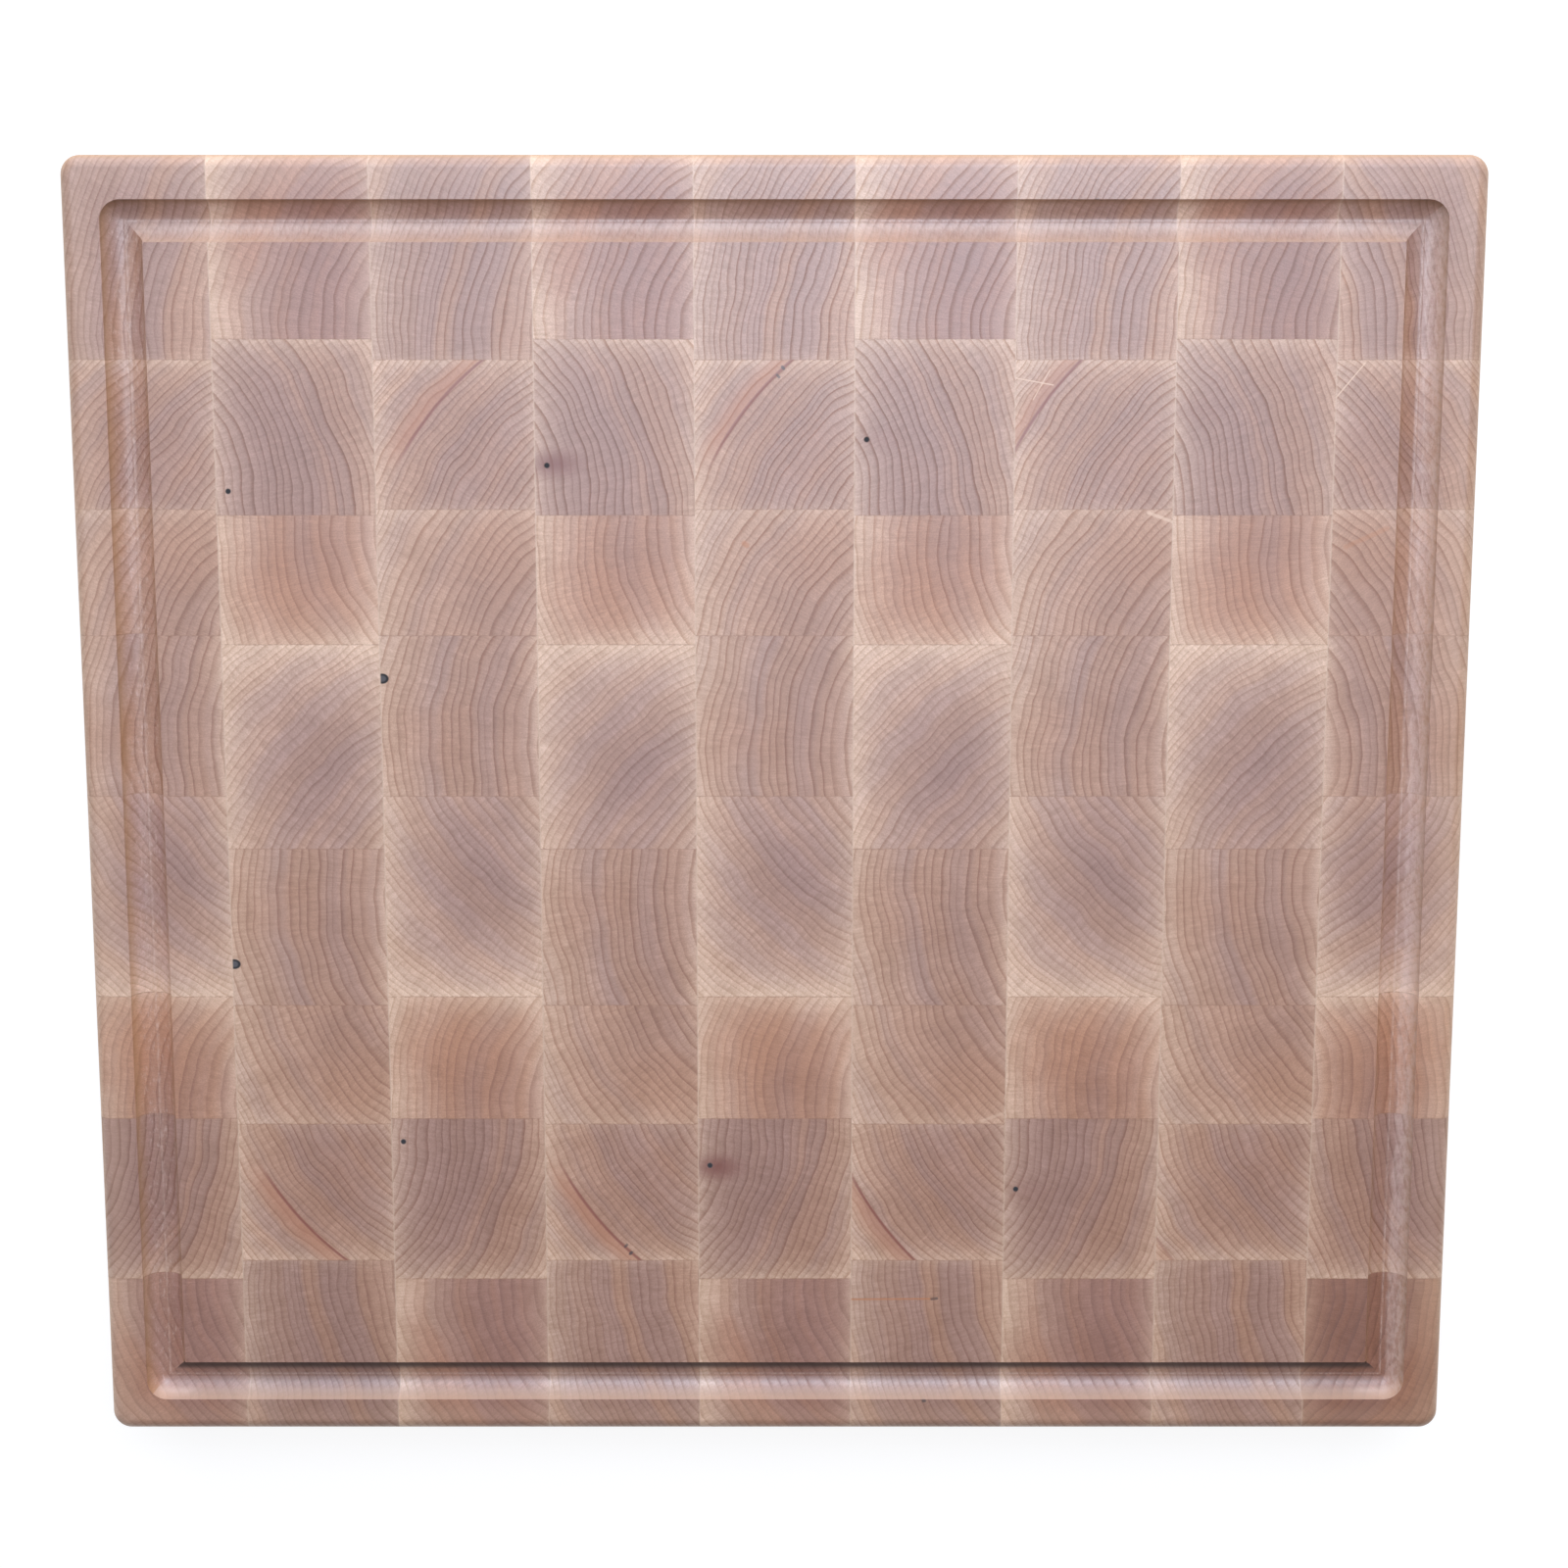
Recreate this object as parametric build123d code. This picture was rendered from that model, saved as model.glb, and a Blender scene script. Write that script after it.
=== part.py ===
from build123d import *
import os

# End-grain butcher block cutting board.
#
# Eight maple boards, a to h, are glued edge to edge into a panel.  The panel is cut across
# into nine strips.  Each strip is turned so that its end grain faces up, every second one is
# turned over end for end, and the strips are glued side by side.  That leaves seventy-two
# blocks, each one a separate piece of wood with glue joints all round.  The slab is then
# trimmed square, its edges are rounded over, and a juice groove is routed near the rim.
#
# Millimetres.  X runs across the strips, Y along them, Z up.  The origin is at the centre of
# the underside.

# Finished slab.
board_width = 432.0  # X
board_depth = 406.0  # Y
board_thickness = 45.0  # Z
corner_radius = 6.0  # upright corners
edge_radius = 4.0  # roundover along the top and bottom edges

# Strips, glued side by side along X.  The two outer ones are trimmed to the slab's width.
strip_count = 9
strip_pitch = 49.0

# Width of each board in the first panel, in the order they are glued.
stave_widths = {
    "a": 61.2,
    "b": 45.5,
    "c": 39.0,
    "d": 50.5,
    "e": 64.5,
    "f": 40.0,
    "g": 53.5,
    "h": 55.0,
}

# Blocks of one strip that share a node.  Each block is a solid of its own in it.
block_groups = ["a", "b", "cd", "e", "fg", "h"]

# Juice groove: half round, cut by a half inch core box bit whose centre runs level with the
# top face.  The margins are the flat rim left between the groove and the slab's sides.
groove_radius = 6.35
side_margin = 12.0
head_margin = 13.3  # +Y side
foot_margin = 10.7  # -Y side


def finished_slab():
    """The whole board's outer shape, with its edges rounded over and the groove routed."""
    outline = RectangleRounded(board_width, board_depth, corner_radius)
    slab = extrude(outline, board_thickness)
    rims = slab.faces().sort_by(Axis.Z)[0].edges() + slab.faces().sort_by(Axis.Z)[-1].edges()
    slab = fillet(rims, edge_radius)
    return slab - groove_cutter()


def groove_cutter():
    """The space swept by the ball-ended bit on its way round the rim, starting midway along the head."""
    run_x = board_width / 2 - side_margin - groove_radius
    head_y = board_depth / 2 - head_margin - groove_radius
    foot_y = foot_margin + groove_radius - board_depth / 2
    route = Polyline(
        (0, head_y),
        (-run_x, head_y),
        (-run_x, foot_y),
        (run_x, foot_y),
        (run_x, head_y),
        (0, head_y),
    )
    start = Plane(origin=(0, head_y, 0), x_dir=(0, 1, 0), z_dir=(-1, 0, 0))
    bit = start * Circle(groove_radius)
    cutter = sweep(bit, path=route, transition=Transition.ROUND)
    return Pos(0, 0, board_thickness) * cutter


def strip_span(strip):
    """The lowest and highest X of a strip, before the slab's sides trim the outer two."""
    centre = (strip - (strip_count + 1) / 2) * strip_pitch
    return centre - strip_pitch / 2, centre + strip_pitch / 2


def block_spans(strip):
    """The lowest and highest Y of each block in a strip, by the letter of its board.

    All strips are flush at the head, +Y.  The odd ones start with board a and the even ones,
    turned end for end, with board h.  The last block of each is trimmed at the foot.
    """
    letters = list(stave_widths)
    if strip % 2 == 0:
        letters.reverse()
    spans = {}
    top = board_depth / 2
    for letter in letters:
        bottom = top - stave_widths[letter]
        spans[letter] = (bottom, top)
        top = bottom
    return spans


def cut_block(slab, strip, letter):
    """One block: the part of the slab between its four glue joints."""
    low_x, high_x = strip_span(strip)
    low_y, high_y = block_spans(strip)[letter]
    size_x = high_x - low_x
    size_y = high_y - low_y
    place = Pos((low_x + high_x) / 2, (low_y + high_y) / 2, board_thickness / 2)
    block = slab & place * Box(size_x, size_y, board_thickness)
    return block.solid()


def node_name(strip, group):
    """The node of one or two neighbouring blocks, such as strip_3_block_e."""
    noun = "block" if len(group) == 1 else "blocks"
    return f"strip_{strip}_{noun}_" + "_".join(group)


def main():
    os.makedirs("parts", exist_ok=True)
    slab = finished_slab()
    for strip in range(1, strip_count + 1):
        for group in block_groups:
            name = node_name(strip, group)
            solids = [cut_block(slab, strip, letter) for letter in group]
            shape = solids[0] if len(solids) == 1 else Compound(children=solids)
            shape.label = name
            export_step(shape, f"parts/{name}.step")


main()
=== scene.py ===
import math
from collections import namedtuple
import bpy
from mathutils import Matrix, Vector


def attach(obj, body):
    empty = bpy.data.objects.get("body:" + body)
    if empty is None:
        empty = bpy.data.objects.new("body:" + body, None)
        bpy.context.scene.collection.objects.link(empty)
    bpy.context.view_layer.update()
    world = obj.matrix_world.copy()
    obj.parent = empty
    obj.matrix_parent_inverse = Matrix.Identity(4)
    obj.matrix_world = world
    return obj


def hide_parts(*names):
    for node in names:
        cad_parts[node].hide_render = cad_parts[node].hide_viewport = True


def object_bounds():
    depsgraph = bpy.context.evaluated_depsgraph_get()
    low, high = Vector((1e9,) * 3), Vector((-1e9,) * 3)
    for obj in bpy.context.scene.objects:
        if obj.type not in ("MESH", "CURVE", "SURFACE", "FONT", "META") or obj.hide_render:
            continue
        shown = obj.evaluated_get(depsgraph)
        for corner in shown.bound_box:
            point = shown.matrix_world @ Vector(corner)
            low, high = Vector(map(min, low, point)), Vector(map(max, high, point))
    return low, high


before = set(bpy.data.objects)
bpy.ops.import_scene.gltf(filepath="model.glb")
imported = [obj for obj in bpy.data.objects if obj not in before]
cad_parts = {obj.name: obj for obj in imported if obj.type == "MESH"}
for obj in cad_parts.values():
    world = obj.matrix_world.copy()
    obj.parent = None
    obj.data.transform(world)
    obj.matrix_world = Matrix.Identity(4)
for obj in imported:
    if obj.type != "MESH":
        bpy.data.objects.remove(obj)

from types import SimpleNamespace

import bmesh
import bpy
from mathutils import Vector

# The looks of an end-grain cutting board.
#
# Eight maple boards, a to h, were glued into a panel, and the panel was cut across into strips
# that stand on end.  Every block is one wooden piece here.  All blocks of one board share a
# material that is a solid texture of that board, so its growth rings carry on from strip to
# strip, and the long grain shows on the sides.

MM = 0.001
cad_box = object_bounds()

# ---------------------------------------------------------------------------------------------
# Sizes of the object, in millimetres.  The joints are as in the CAD model.

STRIP_COUNT = 9
STRIP_PITCH = 49.0
SAW_CUT = 3.0  # wood lost between two strips when the panel was cut across
ROLLED_STRIP = 9  # glued in with its other face up
GROOVE_RADIUS = 6.35
EDGE_RADIUS = 4.0
CORNER_RADIUS = 6.0
GROOVE_SIDE_MARGIN = 12.0
GROOVE_HEAD_MARGIN = 13.3
GROOVE_FOOT_MARGIN = 10.7
CUTTER_RIDGE = 0.12  # height of the fine ridge that the cutter leaves along the groove's floor
CUTTER_RIDGE_WIDTH = 0.40
FAR_FROM_GROOVE = 9.0

low_corner, high_corner = cad_box
BOARD_WIDTH = (high_corner[0] - low_corner[0]) / MM
BOARD_DEPTH = (high_corner[1] - low_corner[1]) / MM
THICKNESS = (high_corner[2] - low_corner[2]) / MM

# The blocks c and d of a strip share one CAD node, and so do f and g.
NODE_GROUPS = ("a", "b", "c_d", "e", "f_g", "h")
NODE_OF_LETTER = {letter: group for group in NODE_GROUPS for letter in group.split("_")}

# One entry per board of the panel.  Places in a board are (across, along) in mm: across from the
# middle of its thickness, along from its head side.
#   width    its size along the strips, mm
#   pith     where the tree's centre lay
#   drift    how far the pith wanders per 100 mm of length
#   spacing  the mean distance between growth rings on its side towards the pith and on the other
#   lines    how strongly the ring lines show
#   core     the colour of the oiled heart of the board
#   pale     strength and reach, mm, of the paler skin along its left, right, head and foot sides
#   shade    middle, radius and strength of its darker middle
#   glow     middle, radius and strength of a more orange part, where there is one
#   bulge    middle, reach and height, mm, of a swelling of the rings, where there is one
#   dark_length  middle and reach along the fibres, and tint, of a darker length, where there is one
STAVES = {
    "a": dict(
        width=61.2, pith=(84, 57), drift=(1.5, 0.8), spacing=(3.1, 1.9),
        lines=0.76, core=(0.336, 0.178, 0.116),
        pale=((0.50, 7), (0.24, 4), (0, 1), (0.2, 2)), shade=((0, 22), 16, 0.16),
        dark_length=(118, 24, (0.86, 0.84, 0.86)),
    ),
    "b": dict(
        width=45.5, pith=(72, 78), drift=(1.2, -1.0), spacing=(2.6, 2.0),
        lines=1.00, core=(0.351, 0.187, 0.122),
        pale=((0.60, 6), (0.38, 4), (0.55, 4), (0.2, 2)),
        shade=((2, 21), 18, 0.20), glow=((15, 32), 13, 0.35),
    ),
    "c": dict(
        width=39.0, pith=(67, 61), drift=(-1.2, 1.2), spacing=(3.9, 2.3),
        lines=0.90, core=(0.362, 0.196, 0.129),
        pale=((0.62, 9), (0.25, 3.5), (0.40, 5), (0, 1)),
        shade=((12, 28), 13, 0.24), glow=((14, 12), 12, 0.40),
    ),
    "d": dict(
        width=50.5, pith=(83, 38), drift=(1.0, 1.4), spacing=(3.5, 2.3),
        lines=0.92, core=(0.341, 0.183, 0.122),
        pale=((0.64, 11), (0.50, 3), (0, 1), (0, 1)),
        shade=((6, 24), 16, 0.16), glow=((-11, 32), 14, 0.45),
    ),
    "e": dict(
        width=64.5, pith=(79, -46), drift=(-1.4, 1.0), spacing=(3.9, 2.5),
        lines=0.70, core=(0.387, 0.216, 0.148),
        pale=((0.75, 9), (0.60, 6), (0, 1), (0.90, 8)), shade=((6, 26), 23, 0.44),
    ),
    "f": dict(
        width=40.0, pith=(57, 34), drift=(1.0, -0.8), spacing=(4.3, 2.4),
        lines=0.62, core=(0.373, 0.179, 0.103),
        pale=((0.84, 9.5), (0.50, 5), (0.80, 6), (0, 1)),
        shade=((3, 28), 15, 0.34), glow=((-6, 15), 19, 0.52),
    ),
    "g": dict(
        width=53.5, pith=(-101, -12), drift=(-1.5, -1.5), spacing=(2.8, 2.3),
        lines=0.98, core=(0.318, 0.165, 0.108),
        pale=((0.45, 5), (0.40, 4.5), (0, 1), (0.52, 4.5)),
        shade=((-6, 24), 18, 0.14), bulge=((-19, 24), 30, 3.6),
    ),
    "h": dict(
        width=55.0, pith=(60, 0), drift=(0.8, 1.0), spacing=(4.1, 2.6),
        lines=0.55, core=(0.298, 0.134, 0.084),
        pale=((0.92, 10.5), (0.38, 4.5), (0, 1), (0.3, 3)),
        shade=((8, 20), 18, 0.20), glow=((-14, 30), 14, 0.45),
        dark_length=(458, 26, (0.80, 0.70, 0.60)),
    ),
}
PALE_WOOD = (0.640, 0.430, 0.290)
LONG_GRAIN = (0.480, 0.262, 0.112)
RING_TINT = (0.59, 0.37, 0.21)
# Painted sheen: groove walls are made paler and bluer, standing for the reflection of bluish light.
WALL_SHEEN_TINT = (1.15, 1.22, 1.35)
# Pale tear-out dust mixed with painted sheen and painted highlights in the groove.
PALE_DUST_AND_SHEEN = (0.66, 0.50, 0.42)
# Painted shade: a near-black brown laid on groove walls that face away from the light.
PAINTED_SHADE = (0.035, 0.016, 0.010)
PALE_GLUE = (0.56, 0.40, 0.28)
BROWN_GLUE = (0.25, 0.11, 0.05)
RUST = (0.420, 0.150, 0.045)
RUSTY_WOOD = (0.40, 0.150, 0.070)
RUST_LINE = (0.20, 0.040, 0.018)
DARK_KNOT = (0.030, 0.022, 0.020)
GREY_KNOT = (0.075, 0.068, 0.072)
BLACK_RIM = (0.006, 0.004, 0.005)
BLACK_TWIG = (0.006, 0.006, 0.008)
TWIG_STAIN = (0.17, 0.045, 0.026)
FRESH_SCRATCH = (0.700, 0.480, 0.330)

# Small marks in single boards: where they start and end, how far along the fibres they lie and
# reach, how thick they are, their colour and how strong they show.
Mark = namedtuple("Mark", "start end fibre reach thick colour strength")
BLEMISHES = {
    "a": (
        Mark((-25, 48), (2.5, 48.2), 333, 2, 0.35, RUST, 0.75),
        Mark((1.6, 48.1), (3.2, 48.3), 333, 2, 0.55, DARK_KNOT, 0.7),
        Mark((-0.8, 13.4), (-0.4, 13.4), 333, 3, 0.6, DARK_KNOT, 0.8),
    ),
    "b": (
        Mark((2.4, 2.2), (2.8, 2.6), 238, 5, 0.6, DARK_KNOT, 0.8),
        Mark((0.8, 4.6), (1.4, 5.2), 238, 5, 0.5, DARK_KNOT, 0.7),
        Mark((-25, 5.4), (-13, 7.6), 336, 2, 0.25, FRESH_SCRATCH, 0.7),
        Mark((-14, 3), (-19, 12), 336, 2, 0.22, FRESH_SCRATCH, 0.6),
        Mark((25, 12), (16, 1), 477, 2, 0.25, FRESH_SCRATCH, 0.7),
    ),
    "c": (
        Mark((-9.4, 10.4), (-8.6, 11), 240, 2, 1.0, RUST, 0.6),
        Mark((17, 1), (25, 4), 336, 3, 0.6, FRESH_SCRATCH, 0.6),
        Mark((20, 11.5), (7.5, 5.8), 477, 4, 0.9, RUST, 0.35),
    ),
}


# ---------------------------------------------------------------------------------------------
# Shape.  The skin of the finished slab is a stack of rounded rectangles, cut into blocks.

NO_RUN, FOOT_RUN, HEAD_RUN, LEFT_RUN, RIGHT_RUN = range(5)
CORNER_STEPS = 10
GROOVE_STEPS = 24
ROUNDOVER_STEPS = 8
SAME_POINT = 1e-7  # metres
SHARP_ANGLE = 35
BELOW_GROOVE = 0.5  # mm under the groove's floor where the top's marks end


def rounded_rectangle(half_x, half_y, radius, z, centre_y=0.0):
    """Points round a rectangle with rounded corners, the same number for any radius."""
    points = []
    for quarter, (sign_x, sign_y) in enumerate(((1, 1), (-1, 1), (-1, -1), (1, -1))):
        for step in range(CORNER_STEPS + 1):
            angle = math.radians(90 * (quarter + step / CORNER_STEPS))
            x = sign_x * (half_x - radius) + radius * math.cos(angle)
            y = sign_y * (half_y - radius) + radius * math.sin(angle) + centre_y
            points.append((x * MM, y * MM, z * MM))
    return points


def slab_rings():
    """The slab's outline at each level, from the top's middle over the rim to the underside."""
    run_x, run_y, middle_y = groove_route()
    profile = []
    for step in range(GROOVE_STEPS + 1):
        angle = math.pi * step / GROOVE_STEPS
        offset = -GROOVE_RADIUS * math.cos(angle)
        depth = GROOVE_RADIUS * math.sin(angle)
        if step == GROOVE_STEPS // 2:
            profile.append((-CUTTER_RIDGE_WIDTH, depth))
            profile.append((0, depth - CUTTER_RIDGE))
            profile.append((CUTTER_RIDGE_WIDTH, depth))
        else:
            profile.append((offset, depth))
    rings = []
    for offset, depth in profile:
        half_x = run_x + offset
        half_y = run_y + offset
        rings.append(rounded_rectangle(half_x, half_y, max(offset, 0), THICKNESS - depth, middle_y))
    edge = []
    for step in range(ROUNDOVER_STEPS + 1):
        angle = math.pi / 2 * step / ROUNDOVER_STEPS
        inset = EDGE_RADIUS * (1 - math.sin(angle))
        drop = EDGE_RADIUS * (1 - math.cos(angle))
        edge.append((inset, drop))
    for inset, drop in edge:
        rings.append(edge_ring(inset, THICKNESS - drop))
    for inset, drop in reversed(edge):
        rings.append(edge_ring(inset, drop))
    return rings


def edge_ring(inset, z):
    return rounded_rectangle(BOARD_WIDTH / 2 - inset, BOARD_DEPTH / 2 - inset, CORNER_RADIUS - inset, z)


def slab_mesh():
    """The whole slab as one closed bmesh."""
    bm = bmesh.new()
    rings = [[bm.verts.new(point) for point in ring] for ring in slab_rings()]
    count = len(rings[0])
    for inner, outer in zip(rings, rings[1:]):
        for i in range(count):
            j = (i + 1) % count
            bm.faces.new((inner[i], outer[i], outer[j], inner[j]))
    bm.faces.new(rings[0])
    bm.faces.new(reversed(rings[-1]))
    bmesh.ops.remove_doubles(bm, verts=bm.verts, dist=SAME_POINT)
    bmesh.ops.recalc_face_normals(bm, faces=bm.faces)
    return bm


def keep_side(bm, axis, position, sign):
    """Cuts the solid across an axis (0 x, 1 y) and drops what lies beyond, as sign points."""
    plane_point = [0, 0, 0]
    plane_normal = [0, 0, 0]
    plane_point[axis] = position * MM
    plane_normal[axis] = sign
    bmesh.ops.bisect_plane(
        bm,
        geom=bm.verts[:] + bm.edges[:] + bm.faces[:],
        dist=SAME_POINT,
        plane_co=plane_point,
        plane_no=plane_normal,
        clear_outer=True,
    )
    open_edges = [edge for edge in bm.edges if edge.is_boundary]
    if open_edges:
        bmesh.ops.holes_fill(bm, edges=open_edges, sides=0)


def strip_centre(strip):
    return (strip - (STRIP_COUNT + 1) / 2) * STRIP_PITCH


def block_spans(strip):
    """(letter, lowest y, highest y) of each block in a strip.  Even strips run h to a."""
    letters = list(STAVES)
    if strip % 2 == 0:
        letters.reverse()
    top = BOARD_DEPTH / 2
    for letter in letters:
        bottom = top - STAVES[letter]["width"]
        yield letter, bottom, top
        top = bottom


def stave_position(strip, letter, top, point):
    """Where a point of a block lay in its board, in mm: across, along and along the fibres."""
    x, y, z = (value / MM for value in point)
    across = x - strip_centre(strip)
    from_head = top - y
    start = strip * (THICKNESS + SAW_CUT)
    if strip == ROLLED_STRIP:
        return -across, from_head, start + z
    if strip % 2 == 0:
        return across, STAVES[letter]["width"] - from_head, start + z
    return across, from_head, start + THICKNESS - z


def groove_route():
    """Half width, half depth and middle of the rectangle that the groove's centre line follows."""
    run_x = BOARD_WIDTH / 2 - GROOVE_SIDE_MARGIN - GROOVE_RADIUS
    head_y = BOARD_DEPTH / 2 - GROOVE_HEAD_MARGIN - GROOVE_RADIUS
    foot_y = GROOVE_FOOT_MARGIN + GROOVE_RADIUS - BOARD_DEPTH / 2
    return run_x, (head_y - foot_y) / 2, (head_y + foot_y) / 2


def groove_offset(point):
    """How far a point of the top lies outside (+) or inside (-) the groove's centre line."""
    x, y, z = (value / MM for value in point)
    if z < THICKNESS - GROOVE_RADIUS - BELOW_GROOVE:
        return FAR_FROM_GROOVE
    run_x, run_y, middle_y = groove_route()
    beyond_x = abs(x) - run_x
    beyond_y = abs(y - middle_y) - run_y
    if beyond_x > 0 and beyond_y > 0:
        offset = math.hypot(beyond_x, beyond_y)
    else:
        offset = max(beyond_x, beyond_y)
    return max(-FAR_FROM_GROOVE, min(offset, FAR_FROM_GROOVE))


def groove_run(point):
    """Which run of the groove a face belongs to, or none."""
    run_x, run_y, middle_y = groove_route()
    from_middle = point[1] / MM - middle_y
    if abs(groove_offset(point)) > GROOVE_RADIUS:
        return NO_RUN
    if abs(point[0] / MM) - run_x > abs(from_middle) - run_y:
        return RIGHT_RUN if point[0] > 0 else LEFT_RUN
    return HEAD_RUN if from_middle > 0 else FOOT_RUN


def make_block(strip_bm, strip, letter, bottom, top, material):
    """One block as an object, with its place in its board and in the groove stored in the mesh."""
    bm = strip_bm.copy()
    keep_side(bm, 1, top, 1)
    keep_side(bm, 1, bottom, -1)
    bmesh.ops.recalc_face_normals(bm, faces=bm.faces)
    mesh = bpy.data.meshes.new(f"wood_strip_{strip}_block_{letter}")
    bm.to_mesh(mesh)
    bm.free()
    place = mesh.attributes.new("stave_mm", "FLOAT_VECTOR", "POINT")
    for vertex, item in zip(mesh.vertices, place.data):
        item.vector = stave_position(strip, letter, top, vertex.co)
    offsets = mesh.attributes.new("groove_mm", "FLOAT", "POINT")
    for vertex, item in zip(mesh.vertices, offsets.data):
        item.value = groove_offset(vertex.co)
    runs = mesh.attributes.new("groove_run", "FLOAT", "FACE")
    for face, item in zip(mesh.polygons, runs.data):
        item.value = groove_run(face.center)
    mesh.shade_smooth()
    mesh.set_sharp_from_angle(angle=math.radians(SHARP_ANGLE))
    mesh.materials.append(material)
    block = bpy.data.objects.new(mesh.name, mesh)
    bpy.context.scene.collection.objects.link(block)
    weighted = block.modifiers.new("even_flats", "WEIGHTED_NORMAL")
    weighted.keep_sharp = True
    return block


# ---------------------------------------------------------------------------------------------
# Materials

# Tints of a board's core colour
WARM_YEARS = (1.07, 1.03, 0.94)
MAUVE_YEARS = (0.93, 0.94, 1.02)
SHADED_MIDDLE = (0.50, 0.42, 0.50)
ORANGE_PART = (1.04, 0.89, 0.68)

# Sizes of the wood's figure, mm: across, along the panel and along the fibres.
BEND_SIZE = (24, 24, 260)
RIPPLE_SIZE = (8, 8, 120)
SKIN_WOBBLE_SIZE = (11, 11, 90)
WANDER_SIZE = (10, 10, 80)
PATCH_SIZE = (14, 14, 140)
MOTTLE_SIZE = (1.7, 1.7, 30)
PORE_SIZE = (0.40, 0.40, 9)
FLECK_SIZE = (0.8, 2.6, 5)
GLUE_BREAK_SIZE = (1.2, 9, 40)
BAND_WIDTH = 9.0
RAY_WIDTH = 0.60  # at RAY_RADIUS from the pith
RAY_RADIUS = 80.0
RAY_LENGTH = 7.0
RAY_HEIGHT = 1.6

# How far the tone swings with each of them
PATCH_CONTRAST = 0.32
RAY_CONTRAST = 0.50
PORE_CONTRAST = 0.80
MOTTLE_CONTRAST = 0.36
LATE_WOOD_CONTRAST = 0.18
TONE_SPREAD = (0.80, 1.0, 1.25)  # blue swings more than red
RING_LINE_STRENGTH = 0.80

RING_BEND = 1.6  # mm off a true circle
RING_RIPPLE = 0.34
SLOW_YEARS = (13.0, 1.0)  # ring widths drift over so many mm, by so many mm
ODD_YEARS = (4.5, 0.45)
PITH_PLACE = 240.0  # where along the fibres each pith is given
BAND_SEED = 3.3
ODD_YEAR_SEED = 9.0
YEAR_TONE_SEED = 40.5

OIL_ROUGHNESS = 0.47
OIL_IOR = 1.6
BUMP_STRENGTH = 0.35
BUMP_DEPTH = 0.04


class Nodes:
    """Short names for making shader nodes in one material."""

    def __init__(self, name):
        self.material = bpy.data.materials.new(name)
        self.material.use_nodes = True
        self.tree = self.material.node_tree
        self.tree.nodes.clear()

    def new(self, kind, **settings):
        node = self.tree.nodes.new(kind)
        for key, value in settings.items():
            setattr(node, key, value)
        return node

    def put(self, socket, value):
        if isinstance(value, bpy.types.NodeSocket):
            self.tree.links.new(value, socket)
        elif isinstance(value, tuple) and len(value) == 3 and socket.type == "RGBA":
            socket.default_value = (*value, 1.0)
        else:
            socket.default_value = value

    def attribute(self, name, output="Fac"):
        return self.new("ShaderNodeAttribute", attribute_name=name).outputs[output]

    def math(self, operation, *values, clamp=False):
        node = self.new("ShaderNodeMath", operation=operation, use_clamp=clamp)
        for socket, value in zip(node.inputs, values):
            self.put(socket, value)
        return node.outputs[0]

    def product(self, first, *others):
        for other in others:
            first = self.math("MULTIPLY", first, other)
        return first

    def vector(self, operation, *values):
        node = self.new("ShaderNodeVectorMath", operation=operation)
        for socket, value in zip(node.inputs, values):
            self.put(socket, value)
        return node.outputs["Value" if operation == "LENGTH" else "Vector"]

    def combine(self, x, y, z=0.0):
        node = self.new("ShaderNodeCombineXYZ")
        for socket, value in zip(node.inputs, (x, y, z)):
            self.put(socket, value)
        return node.outputs[0]

    def separate(self, vector):
        node = self.new("ShaderNodeSeparateXYZ")
        self.put(node.inputs[0], vector)
        return node.outputs[0], node.outputs[1], node.outputs[2]

    def stretch(self, vector, size):
        """The vector measured in steps of that size, for noise with features as large."""
        return self.vector("MULTIPLY", vector, tuple(1 / step for step in size))

    def gap(self, x, y, middle=(0.0, 0.0)):
        """The distance of (x, y) from a middle."""
        from_x = self.math("SUBTRACT", x, middle[0])
        from_y = self.math("SUBTRACT", y, middle[1])
        return self.vector("LENGTH", self.combine(from_x, from_y))

    def noise(self, vector, detail=2.0, roughness=0.5):
        node = self.new("ShaderNodeTexNoise", noise_dimensions="3D")
        self.put(node.inputs["Vector"], vector)
        self.put(node.inputs["Scale"], 1.0)
        self.put(node.inputs["Detail"], detail)
        self.put(node.inputs["Roughness"], roughness)
        return node.outputs["Fac"]

    def signed_noise(self, vector, size, detail=2.0):
        """Noise about zero, of roughly that size either way."""
        return self.math("MULTIPLY", self.math("SUBTRACT", self.noise(vector, detail), 0.5), 4 * size)

    def varied(self, noise, contrast, mean=1.0):
        """The mean, raised or lowered by noise from 0 to 1."""
        return self.math("MULTIPLY_ADD", self.math("SUBTRACT", noise, 0.5), contrast, mean)

    def chance(self, value):
        """A fixed random number from 0 to 1 for each whole number."""
        node = self.new("ShaderNodeTexWhiteNoise", noise_dimensions="1D")
        self.put(node.inputs["W"], value)
        return node.outputs["Value"]

    def ease(self, value, low, high, start=0.0, end=1.0):
        """From start to end as value goes from low to high, smoothly."""
        node = self.new("ShaderNodeMapRange", interpolation_type="SMOOTHSTEP")
        for socket, setting in zip(node.inputs, (value, low, high, start, end)):
            self.put(socket, setting)
        return node.outputs[0]

    def mix(self, factor, first, second, blend="MIX"):
        node = self.new("ShaderNodeMix", data_type="RGBA", blend_type=blend, clamp_factor=True)
        self.put(node.inputs[0], factor)
        self.put(node.inputs[6], first)
        self.put(node.inputs[7], second)
        return node.outputs[2]

    def output(self, shader):
        self.put(self.new("ShaderNodeOutputMaterial").inputs["Surface"], shader.outputs[0])


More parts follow.
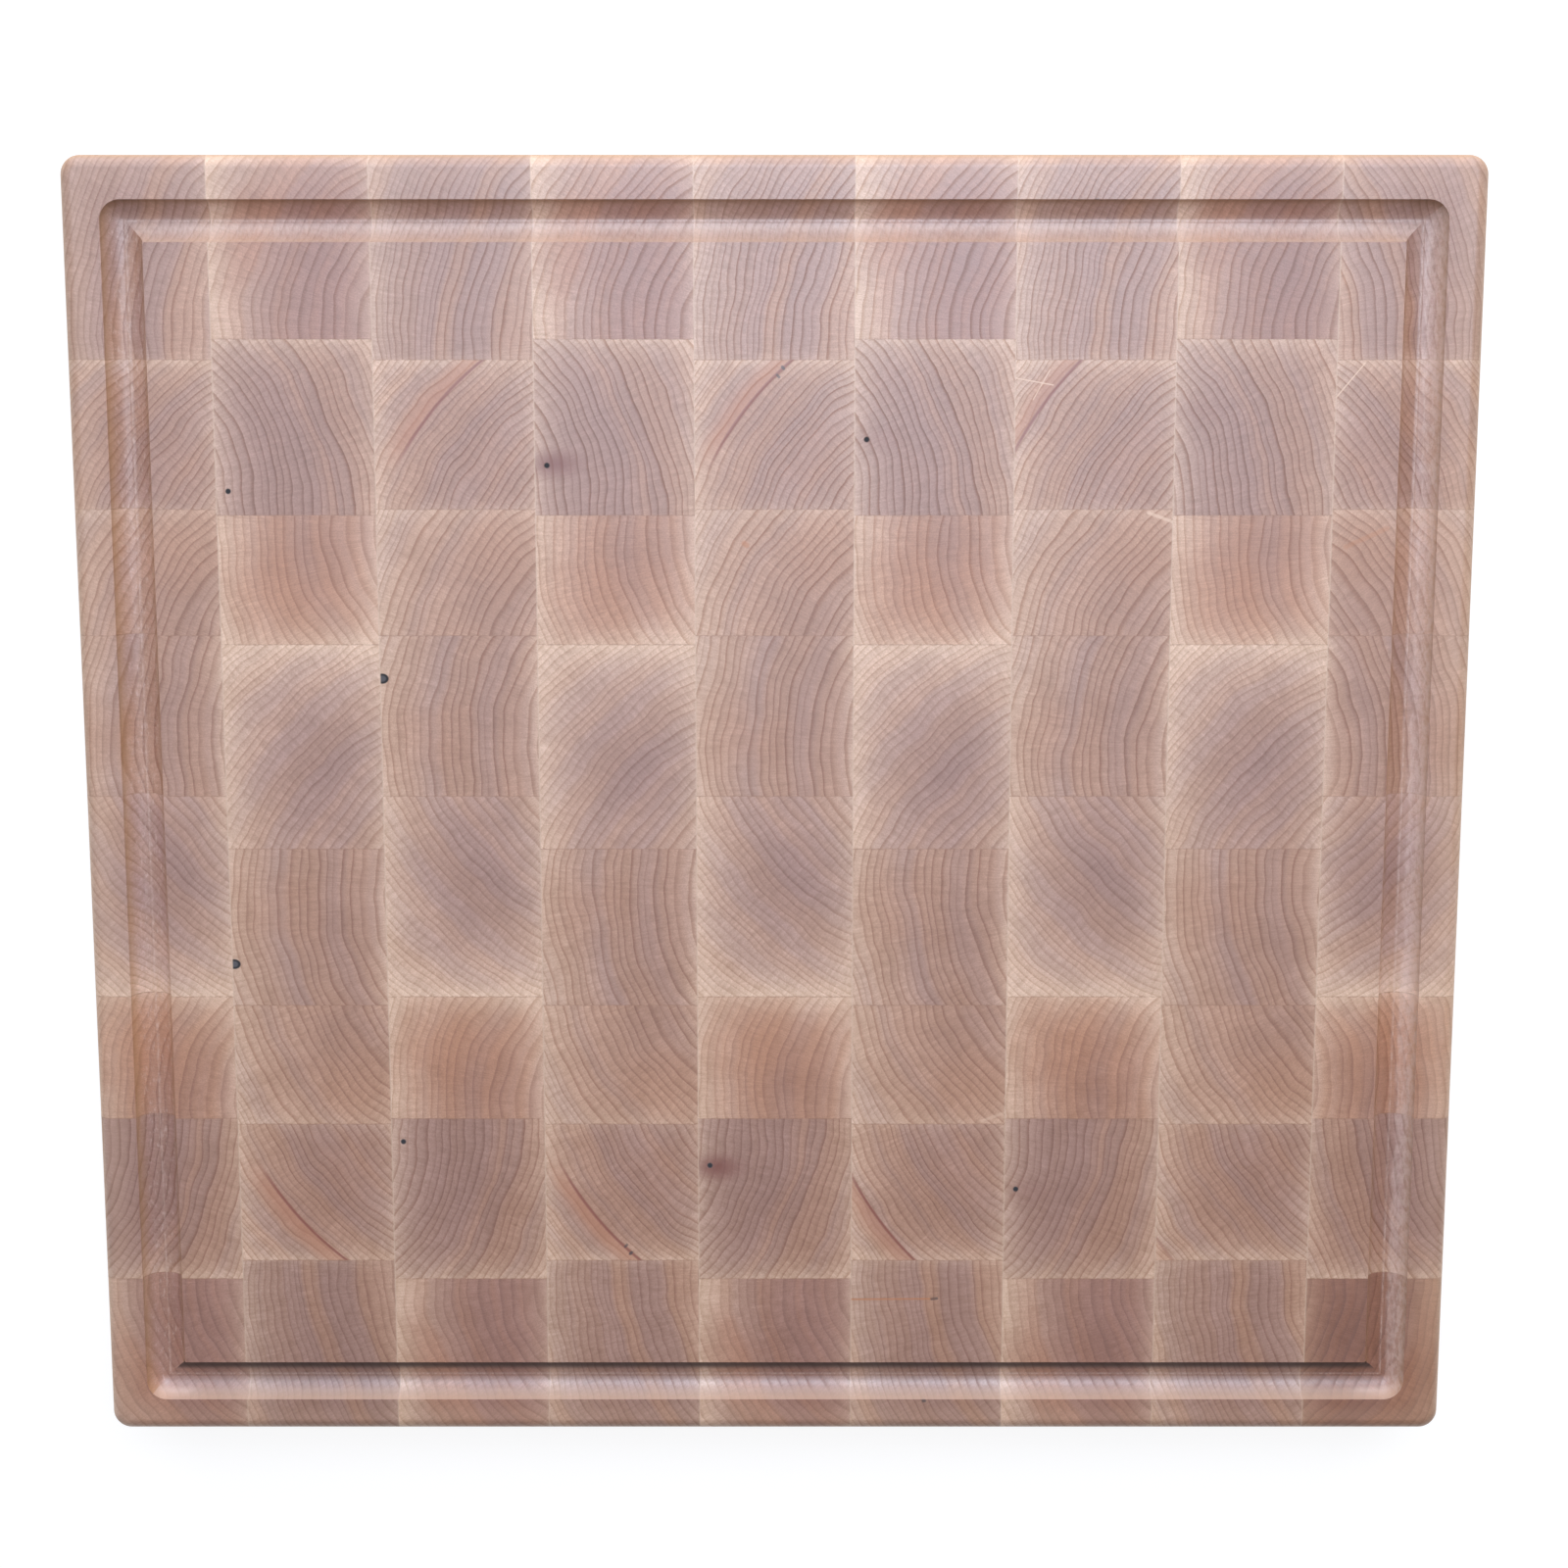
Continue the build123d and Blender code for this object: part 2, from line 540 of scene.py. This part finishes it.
def wood_at_point(n, letter):
    """What the steps below need to know of a point: its place in its board and in the groove."""
    stave = STAVES[letter]
    seed = 17.0 * (ord(letter) - ord("a"))
    place = n.attribute("stave_mm", "Vector")
    across, along, fibre = n.separate(place)
    run = n.attribute("groove_run")
    offset = n.attribute("groove_mm")
    normal = n.new("ShaderNodeNewGeometry").outputs["Normal"]
    return SimpleNamespace(
        letter=letter,
        stave=stave,
        seed=seed,
        across=across,
        along=along,
        fibre=fibre,
        grain=n.vector("ADD", place, (seed, 2 * seed, 5 * seed)),
        left_depth=n.math("ADD", across, STRIP_PITCH / 2),
        right_depth=n.math("SUBTRACT", STRIP_PITCH / 2, across),
        foot_depth=n.math("SUBTRACT", stave["width"], along),
        facing=n.math("ABSOLUTE", n.separate(normal)[2]),
        run=run,
        in_groove=n.math("MINIMUM", run, 1.0),
        offset=offset,
        from_ridge=n.math("ABSOLUTE", offset),
    )


def growth_rings(n, wood):
    """Adds the growth rings to what is known of the point."""
    stave = wood.stave
    (pith_x, pith_y), (drift_x, drift_y) = stave["pith"], stave["drift"]
    pith_x = n.math("MULTIPLY_ADD", wood.fibre, drift_x / 100, pith_x - PITH_PLACE * drift_x / 100)
    pith_y = n.math("MULTIPLY_ADD", wood.fibre, drift_y / 100, pith_y - PITH_PLACE * drift_y / 100)
    wood.arm_x = n.math("SUBTRACT", wood.across, pith_x)
    wood.arm_y = n.math("SUBTRACT", wood.along, pith_y)
    wood.radius = n.gap(wood.arm_x, wood.arm_y)
    bend = n.signed_noise(n.stretch(wood.grain, BEND_SIZE), RING_BEND, detail=1.0)
    ripple = n.signed_noise(n.stretch(wood.grain, RIPPLE_SIZE), RING_RIPPLE)
    wood.bent = n.math("ADD", n.math("ADD", wood.radius, bend), ripple)
    if "bulge" in stave:
        middle, reach, height = stave["bulge"]
        swelling = n.ease(n.gap(wood.across, wood.along, middle), 0.0, reach, height, 0.0)
        wood.bent = n.math("SUBTRACT", wood.bent, swelling)
    grown = wood.bent
    for (period, size), seed in ((SLOW_YEARS, wood.seed), (ODD_YEARS, wood.seed + ODD_YEAR_SEED)):
        years = n.combine(n.math("MULTIPLY", wood.bent, 1 / period), seed)
        grown = n.math("ADD", grown, n.signed_noise(years, size, detail=0.0))

    # Rings per mm rise evenly from the pith's side of the board to the bark's side.
    inner_rate, outer_rate = (1 / spacing for spacing in stave["spacing"])
    inner_radius = abs(stave["pith"][0]) - STRIP_PITCH / 2
    rise = (outer_rate - inner_rate) / (2 * STRIP_PITCH)
    beyond = n.math("SUBTRACT", grown, inner_radius)
    rings = n.math("MULTIPLY", beyond, n.math("MULTIPLY_ADD", beyond, rise, inner_rate))
    ring_number = n.math("FLOOR", rings)
    in_ring = n.math("SUBTRACT", rings, ring_number)
    wood.late_wood = n.math("POWER", in_ring, 1.6)
    line = n.math("POWER", n.ease(in_ring, 0.52, 0.93), 1.5)
    strength = n.math("MULTIPLY_ADD", n.chance(ring_number), 0.60, 0.40)
    wood.line = n.product(line, n.ease(in_ring, 0.95, 1.0, 1.0, 0.0), strength)
    year = n.chance(n.math("ADD", ring_number, YEAR_TONE_SEED))
    wood.year_tone = n.math("MULTIPLY_ADD", year, 0.12, 0.94)


def paler_skin(n, wood):
    """How pale the wood is, 0 to 1, from its depths below the four glued faces."""
    wobble = n.signed_noise(n.stretch(wood.grain, SKIN_WOBBLE_SIZE), 1.2)
    depths = (wood.left_depth, wood.right_depth, wood.along, wood.foot_depth)
    kept = 1.0
    for depth, (strength, reach) in zip(depths, wood.stave["pale"]):
        if strength:
            inward = n.math("MAXIMUM", n.math("ADD", depth, wobble), 0.0)
            fade = n.math("EXPONENT", n.math("DIVIDE", inward, -reach))
            kept = n.math("MULTIPLY", kept, n.math("MULTIPLY_ADD", fade, -strength, 1.0))
    return n.math("SUBTRACT", 1.0, kept, clamp=True)


def tinted(colour, tint):
    return tuple(part * factor for part, factor in zip(colour, tint))


def round_part(n, wood, frayed, part):
    """Mask of a round part of a board's end, its outline frayed by so many mm."""
    middle, radius, strength = part
    gap = n.math("ADD", n.gap(wood.across, wood.along, middle), frayed)
    return n.ease(gap, 0.0, 1.6 * radius, strength, 0.0)


def broad_colour(n, wood):
    """Warm and mauve years, the pale skin, the darker middle, and the board's own longer changes."""
    stave = wood.stave
    core = stave["core"]
    bands = n.noise(n.combine(n.math("MULTIPLY", wood.bent, 1 / BAND_WIDTH), wood.seed + BAND_SEED))
    colour = n.mix(n.ease(bands, 0.38, 0.62), tinted(core, WARM_YEARS), tinted(core, MAUVE_YEARS))
    colour = n.mix(wood.pale, colour, PALE_WOOD)
    frayed = n.varied(bands, 26.0, n.math("MULTIPLY", wood.wander, 5.0))
    colour = n.mix(round_part(n, wood, frayed, stave["shade"]), colour, tinted(core, SHADED_MIDDLE))
    if "glow" in stave:
        colour = n.mix(round_part(n, wood, frayed, stave["glow"]), colour, tinted(core, ORANGE_PART))
    if "dark_length" in stave:
        middle, reach, tint = stave["dark_length"]
        from_middle = n.math("ABSOLUTE", n.math("SUBTRACT", wood.fibre, middle))
        share = n.ease(from_middle, 0.6 * reach, 1.4 * reach, 1.0, 0.0)
        colour = n.mix(share, colour, tint, blend="MULTIPLY")
    return colour


def fine_figure(n, wood, colour):
    """Rays that point at the pith, pores that run along the fibres, mottle and the ring lines."""
    turn = n.math("MULTIPLY", n.math("ARCTAN2", wood.arm_y, wood.arm_x), RAY_RADIUS / RAY_WIDTH)
    inwards = n.math("MULTIPLY", wood.radius, 1 / RAY_LENGTH)
    upwards = n.math("MULTIPLY", wood.fibre, 1 / RAY_HEIGHT)
    wood.rays = n.noise(n.combine(turn, inwards, upwards), detail=1.0)
    wood.pores = n.noise(n.stretch(wood.grain, PORE_SIZE), roughness=0.6)
    wood.mottle = n.noise(n.stretch(wood.grain, MOTTLE_SIZE), roughness=0.6)
    tone = n.product(
        n.varied(wood.patches, PATCH_CONTRAST),
        n.math("MULTIPLY_ADD", wood.late_wood, -LATE_WOOD_CONTRAST, 1.07),
        wood.year_tone,
        n.varied(wood.rays, RAY_CONTRAST),
        n.varied(wood.pores, PORE_CONTRAST),
        n.varied(wood.mottle, MOTTLE_CONTRAST),
    )
    swing = n.math("SUBTRACT", tone, 1.0)
    tint = n.vector("MULTIPLY_ADD", n.combine(swing, swing, swing), TONE_SPREAD, (1, 1, 1))
    colour = n.vector("MULTIPLY", colour, tint)
    strength = RING_LINE_STRENGTH * wood.stave["lines"]
    dark_line = n.product(wood.line, strength, n.math("MULTIPLY_ADD", wood.pale, -0.45, 1.0))
    return n.mix(dark_line, colour, RING_TINT, blend="MULTIPLY")


def long_grain(n, wood, colour):
    """The board's sides show long grain, which takes less oil and stays golden."""
    share = n.ease(wood.facing, 0.20, 0.87, 0.80, 0.0)
    share = n.math("MULTIPLY", share, n.math("MULTIPLY_ADD", wood.in_groove, -0.5, 1.0))
    return n.mix(share, colour, LONG_GRAIN)


def streak(n, wood, mark):
    """Mask of a line between two points of a board, fading along the fibres."""
    (x0, y0), (x1, y1) = mark.start, mark.end
    run_x, run_y = x1 - x0, y1 - y0
    length_squared = run_x ** 2 + run_y ** 2
    from_x = n.math("SUBTRACT", wood.across, x0)
    from_y = n.math("SUBTRACT", wood.along, y0)
    dot = n.math("ADD", n.math("MULTIPLY", from_x, run_x), n.math("MULTIPLY", from_y, run_y))
    share = n.math("DIVIDE", dot, length_squared, clamp=True)
    gap_x = n.math("SUBTRACT", from_x, n.math("MULTIPLY", share, run_x))
    gap_y = n.math("SUBTRACT", from_y, n.math("MULTIPLY", share, run_y))
    mask = n.ease(n.gap(gap_x, gap_y), 0.45 * mark.thick, 1.15 * mark.thick, mark.strength, 0.0)
    deep = n.math("ABSOLUTE", n.math("SUBTRACT", wood.fibre, mark.fibre))
    return n.math("MULTIPLY", mask, n.ease(deep, 0.6 * mark.reach, 1.4 * mark.reach, 1.0, 0.0))


def pin_knot(n, wood, colour):
    """A thin twig that crosses board g at a slant: a dark dot beside a brown stain.  Also its mask."""
    twig_across = -20.8
    start_fibre, start_along, slant = 142.5, 7.5, 0.0823
    twig_along = n.math("MULTIPLY_ADD", wood.fibre, slant, start_along - slant * start_fibre)
    off_x = n.math("SUBTRACT", wood.across, twig_across)
    off_y = n.math("SUBTRACT", wood.along, twig_along)
    stained = n.product(n.ease(wood.fibre, 150, 220), n.ease(wood.fibre, 250, 330, 1.0, 0.25))
    stain_x = n.math("MULTIPLY", n.math("SUBTRACT", off_x, 2.5), 0.55)
    stain_gap = n.gap(stain_x, off_y, (0.0, 0.6))
    stain = n.product(n.ease(stain_gap, 0.2, 6.5, 0.90, 0.0), stained)
    colour = n.mix(stain, colour, TWIG_STAIN)
    alive = n.product(n.ease(wood.fibre, 90, 120), n.ease(wood.fibre, 360, 390, 1.0, 0.0))
    dot = n.product(n.ease(n.gap(off_x, off_y), 0.60, 1.10, 1.0, 0.0), alive)
    return n.mix(dot, colour, BLACK_TWIG), dot


def half_knot(n, wood, colour):
    """A small dead knot at the left side of board d: grey inside a dark rim.  Also its mask."""
    middle_across, middle_along, middle_fibre = -23.9, 13.4, 142
    flattened = n.math("MULTIPLY", n.math("SUBTRACT", wood.across, middle_across), 0.80)
    gap = n.gap(flattened, wood.along, (0.0, middle_along))
    from_middle = n.math("ABSOLUTE", n.math("SUBTRACT", wood.fibre, middle_fibre))
    alive = n.ease(from_middle, 4, 9, 1.0, 0.0)
    rim = n.product(n.ease(gap, 1.45, 1.75, 1.0, 0.0), alive)
    heart = n.product(n.ease(gap, 0.70, 1.15, 0.90, 0.0), alive)
    colour = n.mix(rim, colour, BLACK_RIM)
    return n.mix(heart, colour, GREY_KNOT), rim


def rust_ring(n, wood, colour):
    """A reddish ring in board b, with warmer wood outside it."""
    first_radius, first_fibre, widening = 100.2, 141, 0.00024
    from_first = n.math("SUBTRACT", wood.fibre, first_fibre)
    ring = n.math("MULTIPLY_ADD", n.math("MULTIPLY", from_first, from_first), widening, first_radius)
    outside = n.math("SUBTRACT", wood.radius, ring)
    near_head = n.ease(wood.along, 22, 36, 1.0, 0.0)
    fresh = n.product(n.ease(wood.fibre, 90, 130), n.ease(wood.fibre, 340, 470, 1.0, 0.3))
    shown = n.product(near_head, fresh)
    glow = n.product(n.ease(outside, -0.5, 1.0), n.ease(outside, 1.5, 7.5, 0.5, 0.0))
    colour = n.mix(n.product(glow, shown), colour, RUSTY_WOOD)
    line = n.ease(n.math("ABSOLUTE", outside), 0.1, 0.8, 0.85, 0.0)
    return n.mix(n.product(line, shown), colour, RUST_LINE)


def own_marks(n, wood, colour):
    """The marks of this board alone.  Also the mask of its knot, where it has one."""
    knot = None
    if wood.letter == "b":
        colour = rust_ring(n, wood, colour)
    if wood.letter == "d":
        colour, knot = half_knot(n, wood, colour)
    if wood.letter == "g":
        colour, knot = pin_knot(n, wood, colour)
    for mark in BLEMISHES.get(wood.letter, ()):
        colour = n.mix(streak(n, wood, mark), colour, mark.colour)
    return colour, knot


def glue_lines(n, wood, colour):
    """Pale between the strips, brown and broken between the boards of the panel."""
    side_depth = n.math("MINIMUM", wood.left_depth, wood.right_depth)
    colour = n.mix(n.ease(side_depth, 0.10, 0.34, 0.40, 0.0), colour, PALE_GLUE)
    end_depth = n.math("MINIMUM", wood.along, wood.foot_depth)
    at_seam = n.ease(end_depth, 0.08, 0.30, 1.0, 0.0)
    breaks = n.noise(n.stretch(wood.grain, GLUE_BREAK_SIZE), detail=1.0)
    unbroken = n.ease(breaks, 0.40, 0.62, 0.15, 0.65)
    return n.mix(n.product(at_seam, unbroken), colour, BROWN_GLUE)


def paler_rim(n, wood, colour):
    """Painted light: the rim outside the groove is made a little paler."""
    return n.mix(n.ease(wood.offset, 6.4, 8.6, 0.0, 0.10), colour, PALE_WOOD)


def groove_sheen_dust_and_shade(n, wood, colour):
    """Colours in the groove.  Offsets run from its inner (-) to its outer (+) wall.

    The walls get a paler, bluer painted sheen.  Pale flecks of tear-out dust with painted glints run
    down the left run, a pale painted sheen lies on the inner wall of the head run and the outer walls
    of the foot and right runs, and a thin broken painted highlight runs along the ridge.  The inner
    wall of the foot run, and the outer wall of the head run a little, are darkened with painted shade.
    """
    offset = wood.offset
    runs = (FOOT_RUN, HEAD_RUN, LEFT_RUN, RIGHT_RUN)
    on_run = {run: n.math("COMPARE", wood.run, run, 0.5) for run in runs}
    # Painted sheen: the groove walls are tinted paler and bluer, as if reflecting the bluish light.
    wall = n.product(n.ease(wood.from_ridge, 0.5, 4.5), wood.in_groove)
    colour = n.mix(wall, colour, WALL_SHEEN_TINT, blend="MULTIPLY")

    flecks = n.noise(n.stretch(wood.grain, FLECK_SIZE), detail=3.0, roughness=0.65)
    left_edges = n.ease(wood.from_ridge, 4.0, 6.3, 1.0, 0.0)
    ragged = n.math("ADD", offset, n.math("MULTIPLY", wood.wander, 1.2))
    right_wall = n.product(n.ease(ragged, 1.2, 2.2), n.ease(offset, 2.8, 5.2, 0.26, 0.42))
    # Pale dust flecks with painted glints along the left run's edges, and painted sheen on walls that
    # face the light: the head run's inner wall and the outer walls of the foot and right runs.
    sheen_on_run = {
        LEFT_RUN: n.product(n.ease(flecks, 0.52, 0.74, 0.0, 0.40), left_edges),
        HEAD_RUN: n.product(n.ease(flecks, 0.35, 0.65, 0.28, 0.48), n.ease(offset, -2.4, 0.6, 1.0, 0.0)),
        FOOT_RUN: n.ease(offset, 3.4, 5.2, 0.0, 0.38),
        RIGHT_RUN: n.product(right_wall, n.ease(flecks, 0.36, 0.64, 0.45, 1.35)),
    }
    sheen_and_flecks = 0.0
    for run, sheen in sheen_on_run.items():
        sheen_and_flecks = n.math("MULTIPLY_ADD", on_run[run], sheen, sheen_and_flecks)
    # A painted highlight along the cutter's ridge, broken up by the flecks.
    on_ridge = n.ease(wood.from_ridge, 0.10, 0.45, 1.0, 0.0)
    ridge = n.product(on_ridge, n.ease(flecks, 0.42, 0.64, 0.06, 0.36))
    colour = n.mix(n.math("MAXIMUM", sheen_and_flecks, ridge), colour, PALE_DUST_AND_SHEEN)

    # Painted shade: the foot run's inner wall, a strip of its floor and a little of the head run's
    # outer wall face away from the light and are darkened in colour.
    inner_wall = n.ease(offset, -3.6, -0.8, 1.0, 0.0)
    floor_side = n.ease(offset, 1.5, 4.2, 0.12, 0.0)
    foot_shade = n.product(n.math("MAXIMUM", inner_wall, floor_side), on_run[FOOT_RUN])
    head_shade = n.product(n.ease(offset, 4.6, 6.3, 0.0, 0.15), on_run[HEAD_RUN])
    return n.mix(n.math("MAXIMUM", foot_shade, head_shade), colour, PAINTED_SHADE)


def oiled_finish(n, wood, colour, knot):
    """The surface: ring lines and knots are duller, and pores, rays and lines lie a little lower."""
    end_line = n.math("MULTIPLY", wood.line, wood.facing)
    rough = n.varied(wood.mottle, 0.10, n.varied(wood.patches, 0.10, OIL_ROUGHNESS))
    rough = n.math("MULTIPLY_ADD", end_line, 0.16, rough)
    if knot is not None:
        rough = n.math("MULTIPLY_ADD", knot, n.math("SUBTRACT", 1.0, rough), rough)
    on_slope = n.ease(wood.facing, 0.970, 0.999, 1.0, 0.0)
    on_roundover = n.math("SUBTRACT", on_slope, wood.in_groove, clamp=True)
    relief = n.math("MULTIPLY_ADD", wood.pores, 0.6, n.math("MULTIPLY", end_line, -0.5))
    relief = n.math("MULTIPLY_ADD", wood.rays, 0.3, relief)
    relief = n.math("MULTIPLY", relief, n.math("MULTIPLY_ADD", on_roundover, -0.8, 1.0))
    bump = n.new("ShaderNodeBump")
    bump.inputs["Strength"].default_value = BUMP_STRENGTH
    bump.inputs["Distance"].default_value = BUMP_DEPTH * MM
    n.put(bump.inputs["Height"], relief)
    shader = n.new("ShaderNodeBsdfPrincipled")
    n.put(shader.inputs["Base Color"], colour)
    n.put(shader.inputs["Roughness"], rough)
    shader.inputs["IOR"].default_value = OIL_IOR
    shader.inputs["Specular IOR Level"].default_value = 1.0
    n.put(shader.inputs["Normal"], bump.outputs[0])
    n.output(shader)


def maple(letter):
    """The oiled maple of one board, as a solid texture in that board's own millimetres."""
    n = Nodes("maple_" + letter)
    wood = wood_at_point(n, letter)
    growth_rings(n, wood)
    wood.pale = paler_skin(n, wood)
    wood.wander = n.signed_noise(n.stretch(wood.grain, WANDER_SIZE), 1.0, detail=3.0)
    wood.patches = n.noise(n.stretch(wood.grain, PATCH_SIZE), detail=3.0)
    colour = broad_colour(n, wood)
    colour = fine_figure(n, wood, colour)
    colour = long_grain(n, wood, colour)
    colour, knot = own_marks(n, wood, colour)
    colour = glue_lines(n, wood, colour)
    colour = paler_rim(n, wood, colour)
    colour = groove_sheen_dust_and_shade(n, wood, colour)
    oiled_finish(n, wood, colour, knot)
    return n.material


def floor_material():
    """A plain white sweep that glows a little, so it stays white next to the board."""
    n = Nodes("studio_floor")
    shader = n.new("ShaderNodeBsdfPrincipled")
    shader.inputs["Base Color"].default_value = (0.20, 0.20, 0.20, 1)
    shader.inputs["Roughness"].default_value = 0.9
    shader.inputs["Specular IOR Level"].default_value = 0.0
    shader.inputs["Emission Color"].default_value = (1, 1, 1, 1)
    shader.inputs["Emission Strength"].default_value = 0.85
    n.output(shader)
    return n.material


# ---------------------------------------------------------------------------------------------
# The board


def build_board():
    materials = {letter: maple(letter) for letter in STAVES}
    slab = slab_mesh()
    for strip in range(1, STRIP_COUNT + 1):
        strip_bm = slab.copy()
        centre = strip_centre(strip)
        if strip < STRIP_COUNT:
            keep_side(strip_bm, 0, centre + STRIP_PITCH / 2, 1)
        if strip > 1:
            keep_side(strip_bm, 0, centre - STRIP_PITCH / 2, -1)
        for letter, bottom, top in block_spans(strip):
            block = make_block(strip_bm, strip, letter, bottom, top, materials[letter])
            group = NODE_OF_LETTER[letter]
            noun = "blocks" if "_" in group else "block"
            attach(block, "root")
            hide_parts(f"strip_{strip}_{noun}_{group}")
        strip_bm.free()
    slab.free()


# ---------------------------------------------------------------------------------------------
# Studio, in metres

FLOOR_REACH = 25.0

# Name, place, width and height, watts and colour of each light.  All face the board.
LIGHTS = (
    ("soft_box", (0.10, 0.46, 1.30), (0.75, 0.65), 13.4, (0.76, 0.83, 1.0)),
    ("window", (0.10, 2.33, 1.47), (3.60, 3.40), 89, (0.87, 0.90, 0.98)),
    ("window_sill", (0.10, 2.65, 0.48), (3.60, 0.85), 19, (0.90, 0.92, 1.0)),
    ("skylight", (-1.03, 0.30, 1.95), (1.10, 1.10), 3.5, (0.75, 0.84, 1.0)),
    ("left_wall", (-3.70, 0.20, 2.48), (4.80, 5.00), 32, (0.68, 0.79, 1.0)),
    ("right_wall", (3.80, 0.20, 1.30), (4.80, 2.30), 20, (0.92, 0.88, 0.84)),
)
ROOM_COLOUR = (1.0, 0.98, 0.96, 1)
ROOM_STRENGTH = 0.13

CAMERA_TILT = 9.7  # degrees, towards the foot
CAMERA_REACH = 0.858  # from the point that it looks at
CAMERA_AIM = (0.0029, 0.0107)
SENSOR_WIDTH = 36
LENS = 63


def build_floor():
    reach = FLOOR_REACH
    mesh = bpy.data.meshes.new("studio_floor")
    corners = [(-reach, -reach, 0), (reach, -reach, 0), (reach, reach, 0), (-reach, reach, 0)]
    mesh.from_pydata(corners, [], [(0, 1, 2, 3)])
    mesh.materials.append(floor_material())
    floor = bpy.data.objects.new("studio_floor", mesh)
    bpy.context.scene.collection.objects.link(floor)


def add_area_light(name, place, size, power, colour):
    light = bpy.data.lights.new(name, "AREA")
    light.shape = "RECTANGLE"
    light.size, light.size_y = size
    light.energy = power
    light.color = colour
    lamp = bpy.data.objects.new(name, light)
    lamp.location = place
    direction = Vector((0, 0, THICKNESS * MM)) - lamp.location
    lamp.rotation_euler = direction.to_track_quat("-Z", "Y").to_euler()
    bpy.context.scene.collection.objects.link(lamp)


def build_lights():
    for light in LIGHTS:
        add_area_light(*light)
    world = bpy.data.worlds.new("studio")
    world.use_nodes = True
    background = world.node_tree.nodes["Background"]
    background.inputs["Color"].default_value = ROOM_COLOUR
    background.inputs["Strength"].default_value = ROOM_STRENGTH
    bpy.context.scene.world = world
    bpy.context.scene.view_settings.view_transform = "Standard"


def build_camera():
    """Looks down on the board from just above its head side, tilted a few degrees to the foot."""
    tilt = math.radians(CAMERA_TILT)
    aim_x, aim_y = CAMERA_AIM
    data = bpy.data.cameras.new("camera")
    data.sensor_width = SENSOR_WIDTH
    data.lens = LENS
    camera = bpy.data.objects.new("camera", data)
    back = CAMERA_REACH * math.sin(tilt)
    height = THICKNESS * MM + CAMERA_REACH * math.cos(tilt)
    camera.location = (aim_x, aim_y + back, height)
    camera.rotation_euler = (-tilt, 0, 0)
    bpy.context.scene.collection.objects.link(camera)
    bpy.context.scene.camera = camera


build_board()
build_floor()
build_lights()
build_camera()
